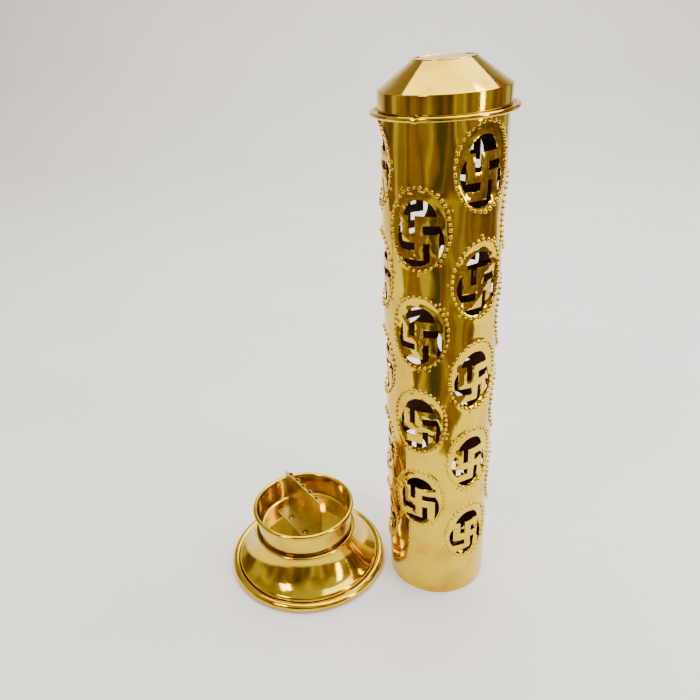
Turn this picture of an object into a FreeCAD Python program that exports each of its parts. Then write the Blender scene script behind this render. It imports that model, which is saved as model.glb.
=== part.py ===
import FreeCAD, Part
import math
import os
import re
import Sketcher

# A brass incense tower, in millimetres. A spun bell foot carries a shallow cup. An L-shaped
# plate riveted in the cup carries a corrugated strip, whose five half-round pockets hold the
# sticks. The pierced tube is a cover that drops into the cup over the burning sticks, and a
# spun cap slips over its top. As it lies here the cover has been taken off and stands on the
# table beside the foot.
#
# Frame: +Z is up, +X runs from the foot towards the tube. The origin is on the table, at the
# middle of the foot.

os.makedirs("parts", exist_ok=True)
doc = FreeCAD.newDocument("incense_tower")

# Every driving size has one row: its alias, its value and what it is.
SIZES = [
    # The spun foot
    ("foot_r", 50.1, "radius of the foot over its rolled rim"),
    ("foot_sheet", 0.8, "thickness of the foot's sheet"),
    ("rim_r", 2.8, "outer radius of the rolled rim's section"),
    ("rim_hem", 2.3, "flat width of the hem turned in under the rim"),
    ("rim_join_deg", 141.2, "where on the rim's section the ring above it begins"),
    ("ring_r", 2.6, "radius of the convex ring above the rim"),
    ("ring_end_in", 6.2, "how far in from the foot's edge the ring runs into the flare"),
    ("ring_end_z", 7.45, "height at which the ring runs into the flare"),
    ("flare_r", 25.55, "radius of the hollow flare, up to the collar"),
    ("flare_low_deg", 240.0, "direction from the flare's centre to its low end"),
    ("flare_top_deg", 191.0, "direction from the flare's centre to its top end"),
    ("collar_bead_r", 1.3, "radius of the bead round the collar"),
    ("collar_stand", 0.9, "how far the bead's centre stands out from the cup's wall"),
    ("collar_end_deg", -55.0, "where on the bead's section the flare ends"),
    ("shelf_z", 27.2, "height of the shelf that carries the cup"),
    ("shelf_hole_r", 20.0, "radius of the open middle of the shelf"),
    # The cup
    ("cup_clear", 0.2, "clearance between the cover and the inside of the cup"),
    ("cup_sheet", 0.7, "thickness of the cup's sheet"),
    ("cup_corner_r", 2.2, "inner radius where the cup's wall meets its floor"),
    ("cup_depth", 16.5, "depth of the cup from the lip to its floor"),
    ("lip_r", 1.4, "radius of the lip rolled outwards"),
    # The stick holder
    ("plate_len", 41.0, "length of the stick plate"),
    ("plate_rise", 28.9, "height of the plate over the cup's floor"),
    ("plate_sheet", 0.6, "thickness of the plate"),
    ("plate_foot_w", 9.0, "width of the foot bent out of the plate"),
    ("plate_turn_deg", -50.5, "direction of the plate, seen from above"),
    ("plate_mid_y", 0.6, "how far the plate's middle lies from the cup's axis"),
    ("strip_sheet", 0.5, "thickness of the corrugated strip"),
    ("strip_rise", 24.0, "height of the corrugated strip"),
    ("pocket_r", 1.7, "inner radius of a stick pocket"),
    ("strip_end_in", 1.875, "how far in from the plate's ends the corrugated strip stops"),
    ("rivet_along", 8.6, "distance of a rivet from the middle of the plate"),
    ("rivet_out", 5.3, "distance of a rivet from the plate"),
    ("rivet_r", 1.0, "radius of a rivet's shank"),
    ("rivet_clear", 0.05, "clearance of the shank in its holes"),
    ("rivet_head_r", 2.0, "radius of the rivet's domed head"),
    ("rivet_head_rise", 0.9, "height of the rivet's domed head"),
    ("rivet_tail_r", 1.8, "radius of the rivet's flattened tail"),
    ("rivet_tail_rise", 0.5, "height of the rivet's flattened tail"),
    # The pierced tube
    ("tube_r", 29.0, "outer radius of the tube"),
    ("tube_sheet", 0.6, "thickness of the tube's sheet"),
    ("tube_tall", 282.0, "height of the tube"),
    ("side_gap", 4.4, "gap between the foot and the tube standing beside it"),
    ("tube_turn_deg", 36.0, "how far the tube is turned about its axis"),
    ("row_low_z", 44.0, "height of the middle of the lowest roundel"),
    ("row_top_gap", 32.0, "how far the middle of the top roundel lies under the tube's top"),
    ("motif_half_w", 9.5, "half the width of the motif"),
    ("motif_top", 8.25, "top of the motif over the roundel's middle"),
    ("motif_low", 12.25, "bottom of the motif under the roundel's middle"),
    ("motif_bar", 4.2, "width of the motif's arms"),
    ("motif_mid_z", -2.0, "height of the motif's middle over the roundel's middle"),
    ("motif_tie", 1.2, "width of a corner left standing where an opening ends"),
    ("crown_top", 7.25, "how far the top opening bows out over the motif"),
    ("crown_low", 3.25, "how far the bottom opening bows out under the motif"),
    ("crown_side", 2.5, "how far the side openings bow out beside the motif"),
    # The cap
    ("cap_sheet", 0.5, "thickness of the cap's sheet"),
    ("cap_clear", 0.25, "clearance of the cap round the tube"),
    ("cap_seat", 0.3, "clearance of the cap's shoulder over the tube's top edge"),
    ("cap_skirt", 10.1, "height of the cap's shoulder over the underside of its rim"),
    ("cap_cone", 11.5, "height of the cap's cone"),
    ("cap_disc_r", 14.0, "radius of the flat disc on top of the cap"),
    ("cap_brim_r", 33.3, "radius of the cap's brim over its rolled edge"),
    ("cap_roll_r", 1.15, "radius of the rolled edge's section"),
]
ALIASES = [alias for alias, value, note in SIZES]

sheet = doc.addObject("Spreadsheet::Sheet", "Dims")
for row, (alias, value, note) in enumerate(SIZES, start=1):
    sheet.set("A%d" % row, alias)
    sheet.set("B%d" % row, str(value))
    sheet.set("C%d" % row, note)
    sheet.setAlias("B%d" % row, alias)
doc.recompute()

# Sizes that several pieces share, written once as formulas over the sheet's cells.
CUP_IN = "(tube_r + cup_clear)"
CUP_OUT = "(tube_r + cup_clear + cup_sheet)"
CUP_FLOOR = "(shelf_z + cup_sheet)"
CUP_TOP = "(shelf_z + cup_sheet + cup_depth)"
COLLAR_X = "(tube_r + cup_clear + cup_sheet + collar_stand)"
COLLAR_Z = "(shelf_z - collar_bead_r)"
RIM_X = "(foot_r - rim_r)"
TOWER_X = "(foot_r + side_gap + tube_r)"
POCKET_PITCH = "((plate_len - 2 * strip_end_in) / 5)"
ROW_PITCH = "((tube_tall - row_low_z - row_top_gap) / 4)"
CAP_IN = "(tube_r + cap_clear)"
CAP_OUT = "(tube_r + cap_clear + cap_sheet)"
CAP_FOOT_Z = "(tube_tall + cap_seat - cap_skirt + 0.5 * cap_sheet)"


def formula(text):
    """Turns the aliases in a formula into references to the sheet's cells."""
    words = r"\b(" + "|".join(sorted(ALIASES, key=len, reverse=True)) + r")\b"
    return re.sub(words, r"Dims.\1", text)


def number(text):
    """The value of a formula, as a plain number."""
    result = sheet.evalExpression(formula(text))
    return float(getattr(result, "Value", result))


def bind(obj, prop, text):
    """Drives one property of an object from the sheet."""
    obj.setExpression(prop, formula(text))


def plane_of(body, role):
    """One of the body's own origin planes or axes, found by its role."""
    for feature in body.Origin.OriginFeatures:
        if feature.Role == role:
            return feature
    raise ValueError("no origin feature called " + role)


def new_body(label):
    body = doc.addObject("PartDesign::Body", label)
    body.Label = label
    return body


def arc_centre(start, end, radius, turn, major):
    """Centre of the arc from start to end. turn is 1 anticlockwise and -1 clockwise."""
    dx = end[0] - start[0]
    dy = end[1] - start[1]
    chord = math.hypot(dx, dy)
    rise = math.sqrt(max(radius * radius - chord * chord / 4.0, 0.0))
    side = turn if not major else -turn
    return (
        (start[0] + end[0]) / 2.0 - dy / chord * rise * side,
        (start[1] + end[1]) / 2.0 + dx / chord * rise * side,
    )


def draw(body, name, role, loops, circles=()):
    """A sketch on one of the body's origin planes.

    Each loop is a list of corners (x, y, segment). The segment runs from that corner to the
    next one: None is a straight line, and (radius, turn, major) is an arc. Each corner and
    each radius is bound to its formula.
    """
    sketch = body.newObject("Sketcher::SketchObject", name)
    sketch.AttachmentSupport = [(plane_of(body, role), "")]
    sketch.MapMode = "FlatFace"
    rules = []
    bindings = []

    def rule(kind, values, text):
        rules.append(Sketcher.Constraint(kind, *values, number(text)))
        bindings.append((len(rules) - 1, text))

    def place(geometry, point, x, y):
        for kind, axis, text in (("DistanceX", -2, x), ("DistanceY", -1, y)):
            if text == "0":
                rules.append(Sketcher.Constraint("PointOnObject", geometry, point, axis))
            else:
                rule(kind, (geometry, point), text)

    for loop in loops:
        corners = [(number(x), number(y)) for x, y, segment in loop]
        pieces = []
        for index, (x, y, segment) in enumerate(loop):
            start = corners[index]
            end = corners[(index + 1) % len(loop)]
            if segment is None:
                line = Part.LineSegment(FreeCAD.Vector(*start, 0), FreeCAD.Vector(*end, 0))
                pieces.append((sketch.addGeometry(line), 1, 2))
                continue
            radius_text, turn, major = segment
            radius = number(radius_text)
            centre = arc_centre(start, end, radius, turn, major)
            first = math.atan2(start[1] - centre[1], start[0] - centre[0])
            last = math.atan2(end[1] - centre[1], end[0] - centre[0])
            circle = Part.Circle(FreeCAD.Vector(*centre, 0), FreeCAD.Vector(0, 0, 1), radius)
            if turn > 0:
                arc = Part.ArcOfCircle(circle, first, last)
                pieces.append((sketch.addGeometry(arc), 1, 2))
            else:
                arc = Part.ArcOfCircle(circle, last, first)
                pieces.append((sketch.addGeometry(arc), 2, 1))
            rule("Radius", (pieces[-1][0],), radius_text)
        for index, (x, y, segment) in enumerate(loop):
            geometry, start_point, end_point = pieces[index]
            before, before_start, before_end = pieces[index - 1]
            place(geometry, start_point, x, y)
            rules.append(
                Sketcher.Constraint("Coincident", before, before_end, geometry, start_point)
            )
    for x, y, radius_text in circles:
        middle = FreeCAD.Vector(number(x), number(y), 0)
        circle = Part.Circle(middle, FreeCAD.Vector(0, 0, 1), number(radius_text))
        geometry = sketch.addGeometry(circle)
        rule("Radius", (geometry,), radius_text)
        place(geometry, 3, x, y)
    sketch.addConstraint(rules)
    for index, text in bindings:
        sketch.setExpression("Constraints[%d]" % index, formula(text))
    doc.recompute()
    return sketch


def spin(body, name, sketch):
    """Turns a sketch of the section round the piece's own vertical axis."""
    feature = body.newObject("PartDesign::Revolution", name)
    feature.Profile = sketch
    feature.ReferenceAxis = (sketch, ["V_Axis"])
    feature.Angle = 360.0
    doc.recompute()
    return feature


# ---------------------------------------------------------------- the spun foot
# One sheet: a flat hem on the table, a rolled rim, a convex ring, a hollow flare, a beaded
# collar and a shelf turned inwards for the cup to stand on. The section runs along the
# outside from the hem to the shelf and back along the inside.
VALLEY_X = "(foot_r - rim_r + rim_r * cos(rim_join_deg * 1deg))"
VALLEY_Z = "(rim_r + rim_r * sin(rim_join_deg * 1deg))"
BEAD_X = "(%s + collar_bead_r * cos(collar_end_deg * 1deg))" % COLLAR_X
BEAD_Z = "(%s + collar_bead_r * sin(collar_end_deg * 1deg))" % COLLAR_Z

foot = new_body("foot_shell")
foot_section = [
    (RIM_X + " - rim_hem", "0", None),
    (RIM_X, "0", ("rim_r", 1, True)),
    (VALLEY_X, VALLEY_Z, ("ring_r", 1, False)),
    ("foot_r - ring_end_in", "ring_end_z", ("flare_r", -1, False)),
    (BEAD_X, BEAD_Z, ("collar_bead_r", 1, False)),
    (COLLAR_X, "shelf_z", None),
    ("shelf_hole_r", "shelf_z", None),
    ("shelf_hole_r", "shelf_z - foot_sheet", None),
    (COLLAR_X, "shelf_z - foot_sheet", ("collar_bead_r - foot_sheet", -1, False)),
    (
        COLLAR_X + " + (collar_bead_r - foot_sheet) * cos(collar_end_deg * 1deg)",
        COLLAR_Z + " + (collar_bead_r - foot_sheet) * sin(collar_end_deg * 1deg)",
        None,
    ),
    (
        BEAD_X + " + foot_sheet * cos(flare_top_deg * 1deg)",
        BEAD_Z + " + foot_sheet * sin(flare_top_deg * 1deg)",
        ("flare_r + foot_sheet", 1, False),
    ),
    (
        "foot_r - ring_end_in + foot_sheet * cos(flare_low_deg * 1deg)",
        "ring_end_z + foot_sheet * sin(flare_low_deg * 1deg)",
        ("ring_r - foot_sheet", -1, False),
    ),
    (VALLEY_X + " - 0.97 * foot_sheet", VALLEY_Z + " + 0.25 * foot_sheet", None),
    (
        VALLEY_X + " - foot_sheet * cos(rim_join_deg * 1deg)",
        VALLEY_Z + " - foot_sheet * sin(rim_join_deg * 1deg)",
        ("rim_r - foot_sheet", -1, True),
    ),
    (RIM_X, "foot_sheet", None),
    (RIM_X + " - rim_hem", "foot_sheet", None),
]
spin(foot, "foot_spun", draw(foot, "foot_section", "XZ_Plane", [foot_section]))

# ---------------------------------------------------------------- the cup
# The cup stands on the foot's shelf. Its inside is the tube's radius plus a clearance, so
# that the cover drops in, and its lip is rolled outwards. The corner between its wall and
# its floor leaves a dark groove over the collar's bead.
LIP_X = "(tube_r + cup_clear + lip_r)"
LIP_Z = "(shelf_z + cup_sheet + cup_depth - lip_r)"

cup = new_body("cup")
cup_section = [
    ("0", "shelf_z", None),
    (CUP_IN + " - cup_corner_r", "shelf_z", ("cup_corner_r + cup_sheet", 1, False)),
    (CUP_OUT, CUP_FLOOR + " + cup_corner_r", None),
    (CUP_OUT, LIP_Z + " - sqrt(lip_r ^ 2 - (lip_r - cup_sheet) ^ 2)", ("lip_r", 1, True)),
    (CUP_IN, LIP_Z, None),
    (CUP_IN, CUP_FLOOR + " + cup_corner_r", ("cup_corner_r", -1, False)),
    (CUP_IN + " - cup_corner_r", CUP_FLOOR, None),
    ("0", CUP_FLOOR, None),
]
spin(cup, "cup_spun", draw(cup, "cup_section", "XZ_Plane", [cup_section]))

# Two holes through its floor take the rivets. The plate is turned about the cup's axis, so
# the rivets' places are turned with it.
def rivet_place(side):
    """Middle of a rivet in the part's frame. side is 1 or -1 along the plate."""
    along = "(%d * rivet_along)" % side
    out = "(-rivet_out)"
    x = "%s * cos(plate_turn_deg * 1deg) - %s * sin(plate_turn_deg * 1deg)" % (along, out)
    y = "%s * sin(plate_turn_deg * 1deg) + %s * cos(plate_turn_deg * 1deg)" % (along, out)
    return x, y + " + plate_mid_y"


def pierce(body, name, circles):
    """Cuts round holes right through a body, along Z."""
    sketch = draw(body, name + "_sketch", "XY_Plane", [], circles)
    pocket = body.newObject("PartDesign::Pocket", name)
    pocket.Profile = sketch
    pocket.Type = "ThroughAll"
    pocket.Midplane = True
    doc.recompute()


pierce(cup, "cup_rivet_holes", [rivet_place(side) + ("rivet_r + rivet_clear",) for side in (1, -1)])

# ---------------------------------------------------------------- the stick plate
# An L of flat sheet, drawn with its length along X and the cup's floor at Z = 0, and then
# turned and lifted into the cup.
plate = new_body("stick_plate")
plate_section = [
    ("0", "0", None),
    ("plate_sheet", "0", None),
    ("plate_sheet", "plate_rise", None),
    ("0", "plate_rise", None),
    ("0", "plate_sheet", None),
    ("-plate_foot_w", "plate_sheet", None),
    ("-plate_foot_w", "0", None),
]
plate_sketch = draw(plate, "plate_section", "YZ_Plane", [plate_section])
plate_pad = plate.newObject("PartDesign::Pad", "plate_bent")
plate_pad.Profile = plate_sketch
plate_pad.Midplane = True
bind(plate_pad, "Length", "plate_len")
doc.recompute()
plate_holes = [
    ("%d * rivet_along" % side, "-rivet_out", "rivet_r + rivet_clear") for side in (1, -1)
]
pierce(plate, "plate_rivet_holes", plate_holes)


def seat_in_cup(obj):
    """Turns and lifts a piece of the stick holder from its own frame into the cup."""
    obj.Placement = FreeCAD.Placement(
        FreeCAD.Vector(0, number("plate_mid_y"), number(CUP_FLOOR)),
        FreeCAD.Rotation(FreeCAD.Vector(0, 0, 1), number("plate_turn_deg")),
    )
    bind(obj, "Placement.Base.y", "plate_mid_y")
    bind(obj, "Placement.Base.z", CUP_FLOOR)
    bind(obj, "Placement.Rotation.Angle", "plate_turn_deg * 1deg")


seat_in_cup(plate)

# ---------------------------------------------------------------- the corrugated strip
# One half-round pocket with half a flat on each side, repeated along the plate. The flats
# lie against the plate's back, and each pocket holds one stick.
strip = new_body("stick_strip")
POCKET_OUT_X = "sqrt((pocket_r + strip_sheet) ^ 2 - strip_sheet ^ 2)"
FIRST_X = "-2 * " + POCKET_PITCH
BACK = "plate_sheet"
strip_section = [
    (FIRST_X + " - 0.5 * " + POCKET_PITCH, BACK, None),
    (FIRST_X + " - pocket_r", BACK, ("pocket_r", -1, False)),
    (FIRST_X, BACK + " + pocket_r", ("pocket_r", -1, False)),
    (FIRST_X + " + pocket_r", BACK, None),
    (FIRST_X + " + 0.5 * " + POCKET_PITCH, BACK, None),
    (FIRST_X + " + 0.5 * " + POCKET_PITCH, BACK + " + strip_sheet", None),
    (FIRST_X + " + " + POCKET_OUT_X, BACK + " + strip_sheet", ("pocket_r + strip_sheet", 1, False)),
    (FIRST_X + " - " + POCKET_OUT_X, BACK + " + strip_sheet", None),
    (FIRST_X + " - 0.5 * " + POCKET_PITCH, BACK + " + strip_sheet", None),
]
strip_sketch = draw(strip, "strip_section", "XY_Plane", [strip_section])
strip_pad = strip.newObject("PartDesign::Pad", "strip_pocket")
strip_pad.Profile = strip_sketch
bind(strip_pad, "Length", "strip_rise")
doc.recompute()
strip_row = strip.newObject("PartDesign::LinearPattern", "strip_pockets")
strip_row.Originals = [strip_pad]
strip_row.Direction = (plane_of(strip, "X_Axis"), [""])
strip_row.Occurrences = 5
bind(strip_row, "Length", "4 * " + POCKET_PITCH)
strip.Tip = strip_row
doc.recompute()
seat_in_cup(strip)
bind(strip, "Placement.Base.z", CUP_FLOOR + " + plate_rise - strip_rise")

# ---------------------------------------------------------------- the rivets
# Each has a domed head on the plate's foot, a shank through the foot and the cup's floor,
# and a tail flattened under the floor. The head's dome is an arc over its own flat.
DOME_R = "(rivet_head_r ^ 2 + rivet_head_rise ^ 2) / (2 * rivet_head_rise)"
for rivet_name, side in (("rivet_front", 1), ("rivet_rear", -1)):
    rivet = new_body(rivet_name)
    rivet_section = [
        ("0", "-cup_sheet - rivet_tail_rise", None),
        ("rivet_tail_r", "-cup_sheet - rivet_tail_rise", None),
        ("rivet_tail_r", "-cup_sheet", None),
        ("rivet_r", "-cup_sheet", None),
        ("rivet_r", "plate_sheet", None),
        ("rivet_head_r", "plate_sheet", (DOME_R, 1, False)),
        ("0", "plate_sheet + rivet_head_rise", None),
    ]
    rivet_sketch = draw(rivet, rivet_name + "_section", "XZ_Plane", [rivet_section])
    spin(rivet, rivet_name + "_turned", rivet_sketch)
    place_x, place_y = rivet_place(side)
    bind(rivet, "Placement.Base.x", place_x)
    bind(rivet, "Placement.Base.y", place_y)
    bind(rivet, "Placement.Base.z", CUP_FLOOR)

# ---------------------------------------------------------------- the pierced tube
# Drawn with one column of roundels facing -Y, then turned about its axis and stood beside
# the foot. Columns of five and columns of four take turns round the tube, and the columns
# of four stand half a pitch higher.
tube = new_body("tower_tube")
wall_sketch = draw(
    tube, "wall_section", "XY_Plane", [], [("0", "0", "tube_r"), ("0", "0", "tube_r - tube_sheet")]
)
wall = tube.newObject("PartDesign::Pad", "tube_wall")
wall.Profile = wall_sketch
bind(wall, "Length", "tube_tall")
doc.recompute()


def bow(chord, crown):
    """Radius of the arc that rises by a crown over a chord."""
    return "(((%s) ^ 2) / 4 + (%s) ^ 2) / (2 * (%s))" % (chord, crown, crown)


def motif_openings(middle):
    """The four openings that leave an upright, right-facing swastika standing in a roundel.

    It is the Hindu sign of good fortune. Each opening is a pocket between two arms and the
    bowed strip between the motif and the roundel's edge. The ends of the arms stay joined
    to the tube where the bowed strips stop.
    """
    left = "(-motif_half_w)"
    right = "motif_half_w"
    top = "(%s + motif_top)" % middle
    low = "(%s - motif_low)" % middle
    mid_top = "(%s + motif_mid_z + 0.5 * motif_bar)" % middle
    mid_low = "(%s + motif_mid_z - 0.5 * motif_bar)" % middle
    bar_left = "(-0.5 * motif_bar)"
    bar_right = "(0.5 * motif_bar)"
    top_chord = "2 * (motif_half_w - motif_tie)"
    low_chord = "2 * motif_half_w - motif_bar - motif_tie"
    right_chord = "motif_top + motif_low - motif_bar - motif_tie"
    left_chord = "motif_top + motif_low - motif_bar - 2 * motif_tie"
    above = [
        (left + " + motif_bar", mid_top, None),
        (bar_left, mid_top, None),
        (bar_left, top, None),
        (right + " - motif_tie", top, (bow(top_chord, "crown_top"), 1, False)),
        (left + " + motif_tie", top, None),
        (left + " + motif_bar", top, None),
    ]
    beside_right = [
        (right, mid_top, None),
        (bar_right, mid_top, None),
        (bar_right, top + " - motif_bar", None),
        (right, top + " - motif_bar", (bow(right_chord, "crown_side"), -1, False)),
        (right, low + " + motif_tie", None),
    ]
    below = [
        (right + " - motif_bar", mid_low, None),
        (bar_right, mid_low, None),
        (bar_right, low, None),
        (left + " + motif_tie", low, (bow(low_chord, "crown_low"), 1, False)),
        (right + " - motif_bar", low, None),
    ]
    beside_left = [
        (left, mid_low, None),
        (bar_left, mid_low, None),
        (bar_left, low + " + motif_bar", None),
        (left, low + " + motif_bar", (bow(left_chord, "crown_side"), -1, False)),
        (left, top + " - 2 * motif_tie", None),
    ]
    return [above, beside_right, below, beside_left]


def column(letter, middle, turn, rows):
    """Pierces the roundels of every other column: rows of them, three times round."""
    sketch = draw(tube, "roundel_" + letter, "XZ_Plane", motif_openings(middle))
    sketch.AttachmentOffset = FreeCAD.Placement(
        FreeCAD.Vector(0, 0, 0), FreeCAD.Rotation(FreeCAD.Vector(0, 1, 0), turn)
    )
    pocket = tube.newObject("PartDesign::Pocket", "piercing_" + letter)
    pocket.Profile = sketch
    pocket.Reversed = True
    bind(pocket, "Length", "tube_r + 1")
    doc.recompute()
    every = tube.newObject("PartDesign::MultiTransform", "columns_" + letter)
    up = doc.addObject("PartDesign::LinearPattern", "rows_up_" + letter)
    up.Direction = (plane_of(tube, "Z_Axis"), [""])
    up.Occurrences = rows
    bind(up, "Length", "%d * %s" % (rows - 1, ROW_PITCH))
    around = doc.addObject("PartDesign::PolarPattern", "turns_round_" + letter)
    around.Axis = (plane_of(tube, "Z_Axis"), [""])
    around.Angle = 360.0
    around.Occurrences = 3
    every.Originals = [pocket]
    every.Transformations = [up, around]
    tube.Tip = every
    doc.recompute()
    return every


solid_volume = tube.Shape.Volume
column("a", "row_low_z", 0.0, 5)
column("b", "(row_low_z + 0.5 * %s)" % ROW_PITCH, -60.0, 4)
print("tube pierced: %.0f of %.0f mm3 left" % (tube.Shape.Volume, solid_volume))
tube.Placement = FreeCAD.Placement(
    FreeCAD.Vector(number(TOWER_X), 0, 0),
    FreeCAD.Rotation(FreeCAD.Vector(0, 0, 1), number("tube_turn_deg")),
)
bind(tube, "Placement.Base.x", TOWER_X)
bind(tube, "Placement.Rotation.Angle", "tube_turn_deg * 1deg")

# ---------------------------------------------------------------- the cap
# A spun cap: a flat disc, a cone, a short skirt that slips over the tube, and a brim with a
# rolled edge to lift it by. Its own zero is the underside of that rolled edge.
cap = new_body("cap")
ROLL_X = "(cap_brim_r - cap_roll_r)"
ROLL_BITE = "sqrt(cap_roll_r ^ 2 - (0.5 * cap_sheet) ^ 2)"
cap_section = [
    (CAP_IN, "cap_roll_r - 0.5 * cap_sheet", None),
    (ROLL_X + " - " + ROLL_BITE, "cap_roll_r - 0.5 * cap_sheet", ("cap_roll_r", 1, True)),
    (ROLL_X + " - " + ROLL_BITE, "cap_roll_r + 0.5 * cap_sheet", None),
    (CAP_OUT, "cap_roll_r + 0.5 * cap_sheet", None),
    (CAP_OUT, "cap_skirt", None),
    ("cap_disc_r", "cap_skirt + cap_cone", None),
    ("0", "cap_skirt + cap_cone", None),
    ("0", "cap_skirt + cap_cone - cap_sheet", None),
    ("cap_disc_r - 0.33 * cap_sheet", "cap_skirt + cap_cone - cap_sheet", None),
    (CAP_IN, "cap_skirt - 0.5 * cap_sheet", None),
]
spin(cap, "cap_spun", draw(cap, "cap_section", "XZ_Plane", [cap_section]))
bind(cap, "Placement.Base.x", TOWER_X)
bind(cap, "Placement.Base.z", CAP_FOOT_Z)

doc.recompute()

# ---------------------------------------------------------------- check, then write
for obj in doc.Objects:
    if "Invalid" in obj.State or "Error" in obj.State:
        raise RuntimeError("%s did not build: %s" % (obj.Name, obj.State))

bodies = [obj for obj in doc.Objects if obj.TypeId == "PartDesign::Body"]
for body in bodies:
    if body.Shape.isNull() or not body.Shape.isValid() or len(body.Shape.Solids) != 1:
        raise RuntimeError(body.Label + " is not one valid solid")

for body in bodies:
    body.Shape.exportStep("parts/%s.step" % body.Label)
    box = body.Shape.BoundBox
    print(
        "%-12s %8.0f mm3  x %.1f..%.1f  y %.1f..%.1f  z %.1f..%.1f"
        % (body.Label, body.Shape.Volume, box.XMin, box.XMax, box.YMin, box.YMax, box.ZMin, box.ZMax)
    )
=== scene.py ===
# %% [markdown]
# # A brass incense tower, built round its CAD frame
# The real thing is Indian sheet-brass work: a spun foot with a cup, a riveted holder for
# five sticks, and a tall pierced tube with a slip-on cap that is lifted over the burning
# sticks. The CAD model fixes every size. This notebook adds what the eye looks for in hand
# work: the beads punched round each roundel, softened edges, rolled rims and real brass.

# %% Load the frame
import math
import bmesh
import bpy
from mathutils import Matrix, Vector, geometry, noise


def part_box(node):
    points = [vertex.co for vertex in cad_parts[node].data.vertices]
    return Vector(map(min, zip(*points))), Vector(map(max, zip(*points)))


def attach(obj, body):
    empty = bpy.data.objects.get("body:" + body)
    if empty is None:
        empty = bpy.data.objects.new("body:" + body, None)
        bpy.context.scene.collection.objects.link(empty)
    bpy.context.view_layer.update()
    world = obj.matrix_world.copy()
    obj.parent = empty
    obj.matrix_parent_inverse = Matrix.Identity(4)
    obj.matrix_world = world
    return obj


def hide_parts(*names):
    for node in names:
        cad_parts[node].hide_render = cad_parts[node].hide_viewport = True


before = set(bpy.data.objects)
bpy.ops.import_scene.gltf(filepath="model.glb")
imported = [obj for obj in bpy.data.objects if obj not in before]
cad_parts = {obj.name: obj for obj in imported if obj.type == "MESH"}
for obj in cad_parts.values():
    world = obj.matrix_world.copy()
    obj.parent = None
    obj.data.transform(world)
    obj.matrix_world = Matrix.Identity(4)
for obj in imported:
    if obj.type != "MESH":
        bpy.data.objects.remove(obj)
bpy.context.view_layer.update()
MM = 0.001
print("CAD nodes:", ", ".join(sorted(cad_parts)))

# %% [markdown]
# ## Places and sizes
# Every place comes from the CAD nodes' own boxes, so nothing has to be fitted by eye. The
# foot stands round the origin, and the tube stands beside it on the same table.

# %% Measure the CAD nodes


def box_mm(node):
    """The lowest and highest corners of a CAD node, in millimetres."""
    low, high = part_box(node)
    return low / MM, high / MM


foot_low, foot_high = box_mm("foot_shell")
cup_low, cup_high = box_mm("cup")
tube_low, tube_high = box_mm("tower_tube")
cap_low, cap_high = box_mm("cap")
FOOT_R = (foot_high.x - foot_low.x) / 2
TUBE_X = (tube_low.x + tube_high.x) / 2
TUBE_R = (tube_high.y - tube_low.y) / 2
TUBE_TALL = tube_high.z
SHELF_Z = foot_high.z
LIP_Z = cup_high.z
LIP_OUT = (cup_high.y - cup_low.y) / 2
BRIM_R = (cap_high.y - cap_low.y) / 2
CAP_Z = cap_low.z
print("tube radius %.2f at x %.2f, foot radius %.2f" % (TUBE_R, TUBE_X, FOOT_R))

# %% [markdown]
# ## The camera
# A phone held about 45 cm away and well above the table looks down at the pair. Its place
# and turn are plain numbers, and the small shift leaves even room round both pieces.

# %% Camera
CAMERA_AT = Vector((66.43, -321.74, 319.43)) * MM
CAMERA_YAW = 0.1644
CAMERA_PITCH = -0.5192
CAMERA_ROLL = 0.0914
SENSOR = 36.0
LENS = 34.16
camera_data = bpy.data.cameras.new("camera")
camera_data.sensor_width = SENSOR
camera_data.lens = LENS
camera_data.shift_x = 0.0538
camera_data.shift_y = 0.0452
camera_data.clip_start = 0.01
camera_data.clip_end = 50.0
camera = bpy.data.objects.new("camera", camera_data)
bpy.context.collection.objects.link(camera)
looks_along_y = Matrix.Rotation(math.radians(90), 4, "X")
turn = Matrix.Rotation(CAMERA_YAW, 4, "Z") @ Matrix.Rotation(CAMERA_PITCH, 4, "X")
turn = turn @ Matrix.Rotation(CAMERA_ROLL, 4, "Y") @ looks_along_y
camera.matrix_world = Matrix.Translation(CAMERA_AT) @ turn
bpy.context.scene.camera = camera
pair_middle = Vector((TUBE_X / 2, 0, TUBE_TALL / 2)) * MM
print("camera %.0f mm from the pair's middle" % ((CAMERA_AT - pair_middle).length / MM))

# %% [markdown]
# ## Colours
# Colours are written as sRGB hex, the way a paint chart gives them, and one function turns
# them into the linear values that a renderer adds up.

# %% Linear colour


def linear(hex_colour):
    """An sRGB hex colour as linear RGBA."""
    values = []
    for start in (0, 2, 4):
        share = int(hex_colour[start : start + 2], 16) / 255
        values.append(share / 12.92 if share <= 0.04045 else ((share + 0.055) / 1.055) ** 2.4)
    return (*values, 1.0)


print("the grey 808080 reflects %.0f percent of the light" % (100 * linear("808080")[0]))

# %% [markdown]
# ## Nodes
# Materials and geometry graphs are both trees of nodes, so one small function adds any node
# to either. A node handed to it as an input is linked by its first output.

# %% Add a node


def fill_stops(band, stops):
    """Sets a colour ramp from (place, hex colour) stops."""
    while len(band.elements) < len(stops):
        band.elements.new(0.5)
    for element, (place, colour) in zip(band.elements, stops):
        element.position = place
        element.color = linear(colour)


def add(tree, kind, settings=None, **inputs):
    """Adds one node. Inputs are values, or nodes or sockets to link, or a list of those."""
    node = tree.nodes.new(kind)
    for name, value in (settings or {}).items():
        if name == "stops":
            fill_stops(node.color_ramp, value)
        else:
            setattr(node, name, value)
    for name, value in inputs.items():
        key = int(name[1:]) if name[0] == "i" and name[1:].isdigit() else name.replace("_", " ")
        for source in value if isinstance(value, list) else [value]:
            if isinstance(source, bpy.types.Node):
                source = source.outputs[0]
            if isinstance(source, bpy.types.NodeSocket):
                tree.links.new(source, node.inputs[key])
            else:
                node.inputs[key].default_value = source
    return node


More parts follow.
